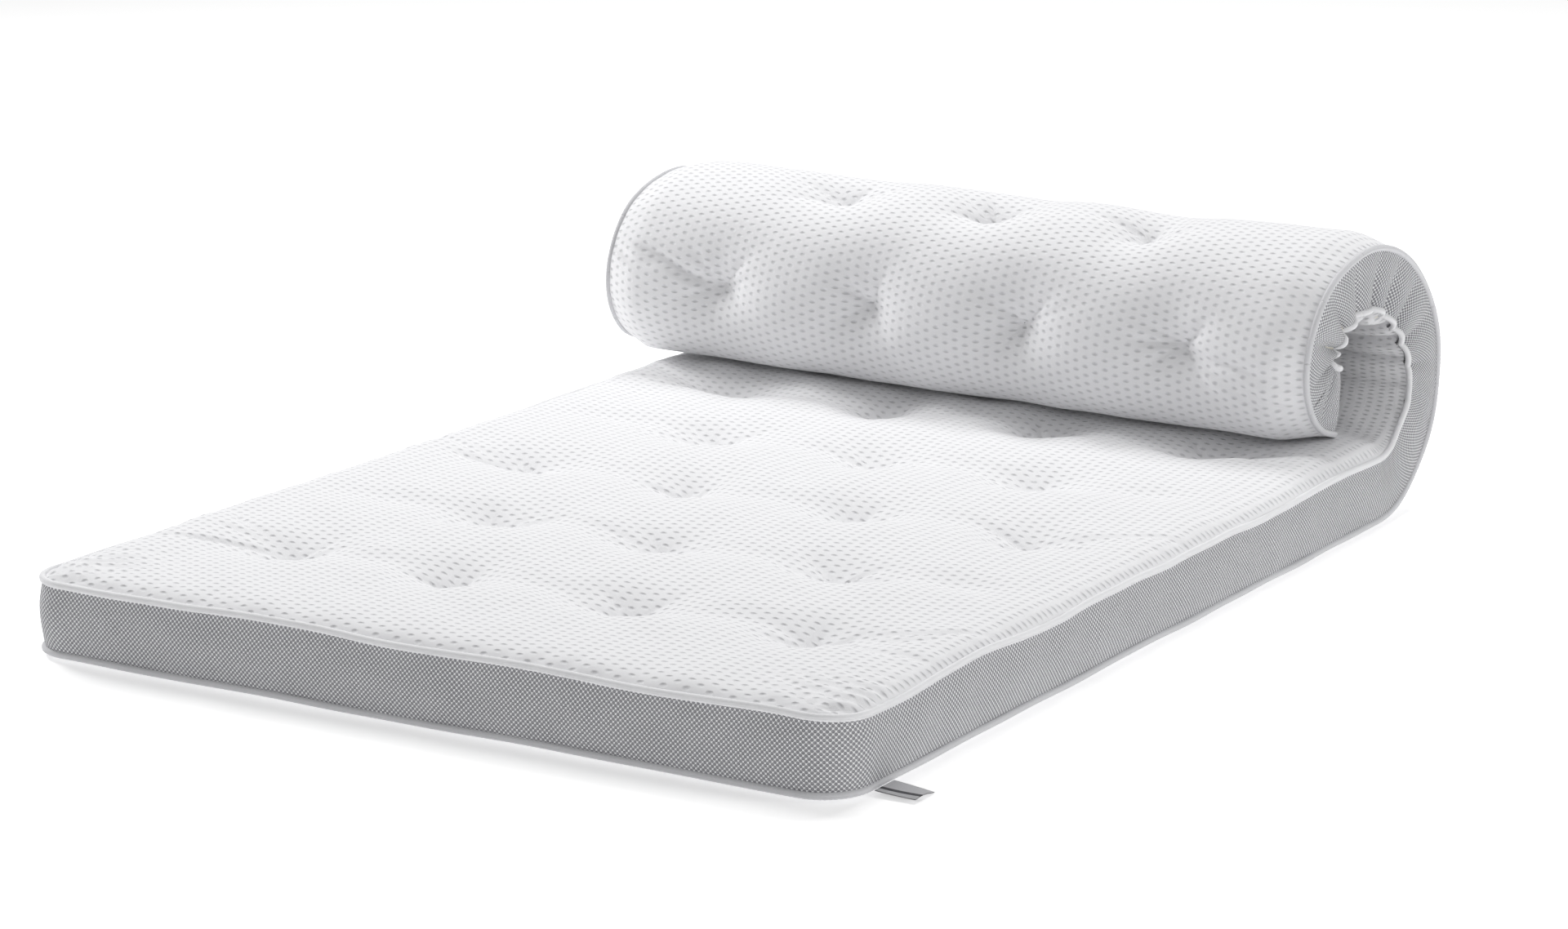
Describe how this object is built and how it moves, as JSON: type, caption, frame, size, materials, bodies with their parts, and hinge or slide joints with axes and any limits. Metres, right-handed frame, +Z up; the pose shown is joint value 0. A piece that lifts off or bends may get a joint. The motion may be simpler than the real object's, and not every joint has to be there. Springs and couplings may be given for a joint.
{
  "type": "memory foam mattress",
  "caption": "Tufted memory foam mattress pad with a knit cover, mesh border and corded edges, its far end rolled back over the flat part.",
  "frame": {"origin": "on the underside of the flat part, midway across, 550 mm from the front edge", "axes": "+X across the bed to the label's side, +Y along the bed towards the rolled end, +Z up"},
  "size_m": [0.9916, 1.3467, 0.3068],
  "materials": {
    "knit_cover": "matte white stretch knit with small dimples",
    "spacer_mesh": "light grey open spacer mesh",
    "piping_cord": "twisted white cord",
    "memory_foam": "fine open-cell foam",
    "tuft_thread": "waxed grey thread",
    "label_satin": "woven satin"
  },
  "bodies": {
    "flat": {"bottom_panel_flat": "knit_cover", "foam_core_flat": "memory_foam", "piping_flat": "piping_cord", "side_border_flat": "spacer_mesh", "top_panel_flat": "knit_cover", "tufts_flat": "tuft_thread"},
    "roll_1": {"bottom_panel_roll_1": "knit_cover", "foam_core_roll_1": "memory_foam", "piping_roll_1": "piping_cord", "side_border_roll_1": "spacer_mesh", "top_panel_roll_1": "knit_cover", "tufts_roll_1": "tuft_thread"},
    "roll_2": {"bottom_panel_roll_2": "knit_cover", "foam_core_roll_2": "memory_foam", "piping_roll_2": "piping_cord", "side_border_roll_2": "spacer_mesh", "top_panel_roll_2": "knit_cover"},
    "roll_3": {"bottom_panel_roll_3": "knit_cover", "foam_core_roll_3": "memory_foam", "piping_roll_3": "piping_cord", "side_border_roll_3": "spacer_mesh", "top_panel_roll_3": "knit_cover", "tufts_roll_3": "tuft_thread"},
    "roll_4": {"bottom_panel_roll_4": "knit_cover", "foam_core_roll_4": "memory_foam", "piping_roll_4": "piping_cord", "side_border_roll_4": "spacer_mesh", "top_panel_roll_4": "knit_cover"},
    "roll_5": {"bottom_panel_roll_5": "knit_cover", "foam_core_roll_5": "memory_foam", "piping_roll_5": "piping_cord", "side_border_roll_5": "spacer_mesh", "top_panel_roll_5": "knit_cover", "tufts_roll_5": "tuft_thread"},
    "roll_6": {"bottom_panel_roll_6": "knit_cover", "foam_core_roll_6": "memory_foam", "piping_roll_6": "piping_cord", "side_border_roll_6": "spacer_mesh", "top_panel_roll_6": "knit_cover"},
    "roll_7": {"bottom_panel_roll_7": "knit_cover", "foam_core_roll_7": "memory_foam", "piping_roll_7": "piping_cord", "side_border_roll_7": "spacer_mesh", "top_panel_roll_7": "knit_cover", "tufts_roll_7": "tuft_thread"},
    "roll_8": {"bottom_panel_roll_8": "knit_cover", "foam_core_roll_8": "memory_foam", "piping_roll_8": "piping_cord", "side_border_roll_8": "spacer_mesh", "top_panel_roll_8": "knit_cover"},
    "roll_9": {"bottom_panel_roll_9": "knit_cover", "foam_core_roll_9": "memory_foam", "piping_roll_9": "piping_cord", "side_border_roll_9": "spacer_mesh", "top_panel_roll_9": "knit_cover"},
    "label": {"label": "label_satin"}
  },
  "joints": [
    {"name": "unroll_1", "type": "hinge", "parent": "flat", "child": "roll_1", "pos_m": [0.03404, 0.64954, 0], "axis": [-0.9986, 0.0523, 0], "range_deg": [0, 38.33]},
    {"name": "unroll_2", "type": "hinge", "parent": "roll_1", "child": "roll_2", "pos_m": [0.03906, 0.74522, 0.07576], "axis": [-0.9986, 0.0523, 0], "range_deg": [0, 38.33]},
    {"name": "unroll_3", "type": "hinge", "parent": "roll_2", "child": "roll_3", "pos_m": [0.04026, 0.76817, 0.17273], "axis": [-0.9986, 0.0523, 0], "range_deg": [0, 38.33]},
    {"name": "unroll_4", "type": "hinge", "parent": "roll_3", "child": "roll_4", "pos_m": [0.03813, 0.72751, 0.26006], "axis": [-0.9986, 0.0523, 0], "range_deg": [0, 38.33]},
    {"name": "unroll_5", "type": "hinge", "parent": "roll_4", "child": "roll_5", "pos_m": [0.03326, 0.63456, 0.3068], "axis": [-0.9986, 0.0523, 0], "range_deg": [0, 38.33]},
    {"name": "unroll_6", "type": "hinge", "parent": "roll_5", "child": "roll_6", "pos_m": [0.02814, 0.53687, 0.2866], "axis": [-0.9986, 0.0523, 0], "range_deg": [0, 38.33]},
    {"name": "unroll_7", "type": "hinge", "parent": "roll_6", "child": "roll_7", "pos_m": [0.02541, 0.48486, 0.22453], "axis": [-0.9986, 0.0523, 0], "range_deg": [0, 38.33]},
    {"name": "unroll_8", "type": "hinge", "parent": "roll_7", "child": "roll_8", "pos_m": [0.02531, 0.48293, 0.15808], "axis": [-0.9986, 0.0523, 0], "range_deg": [0, 38.33]},
    {"name": "unroll_9", "type": "hinge", "parent": "roll_8", "child": "roll_9", "pos_m": [0.02737, 0.52226, 0.10517], "axis": [-0.9986, 0.0523, 0], "range_deg": [0, 38.33]},
    {"name": "label_lift", "type": "hinge", "parent": "flat", "child": "label", "pos_m": [0.4535, -0.488, 0.006], "axis": [0, -1, 0], "range_deg": [0, 80]}
  ],
  "couplings": [
    {"joint": "unroll_2", "follows": "unroll_1", "ratio": 1},
    {"joint": "unroll_3", "follows": "unroll_1", "ratio": 1},
    {"joint": "unroll_4", "follows": "unroll_1", "ratio": 1},
    {"joint": "unroll_5", "follows": "unroll_1", "ratio": 1},
    {"joint": "unroll_6", "follows": "unroll_1", "ratio": 1},
    {"joint": "unroll_7", "follows": "unroll_1", "ratio": 1},
    {"joint": "unroll_8", "follows": "unroll_1", "ratio": 1},
    {"joint": "unroll_9", "follows": "unroll_1", "ratio": 1}
  ]
}
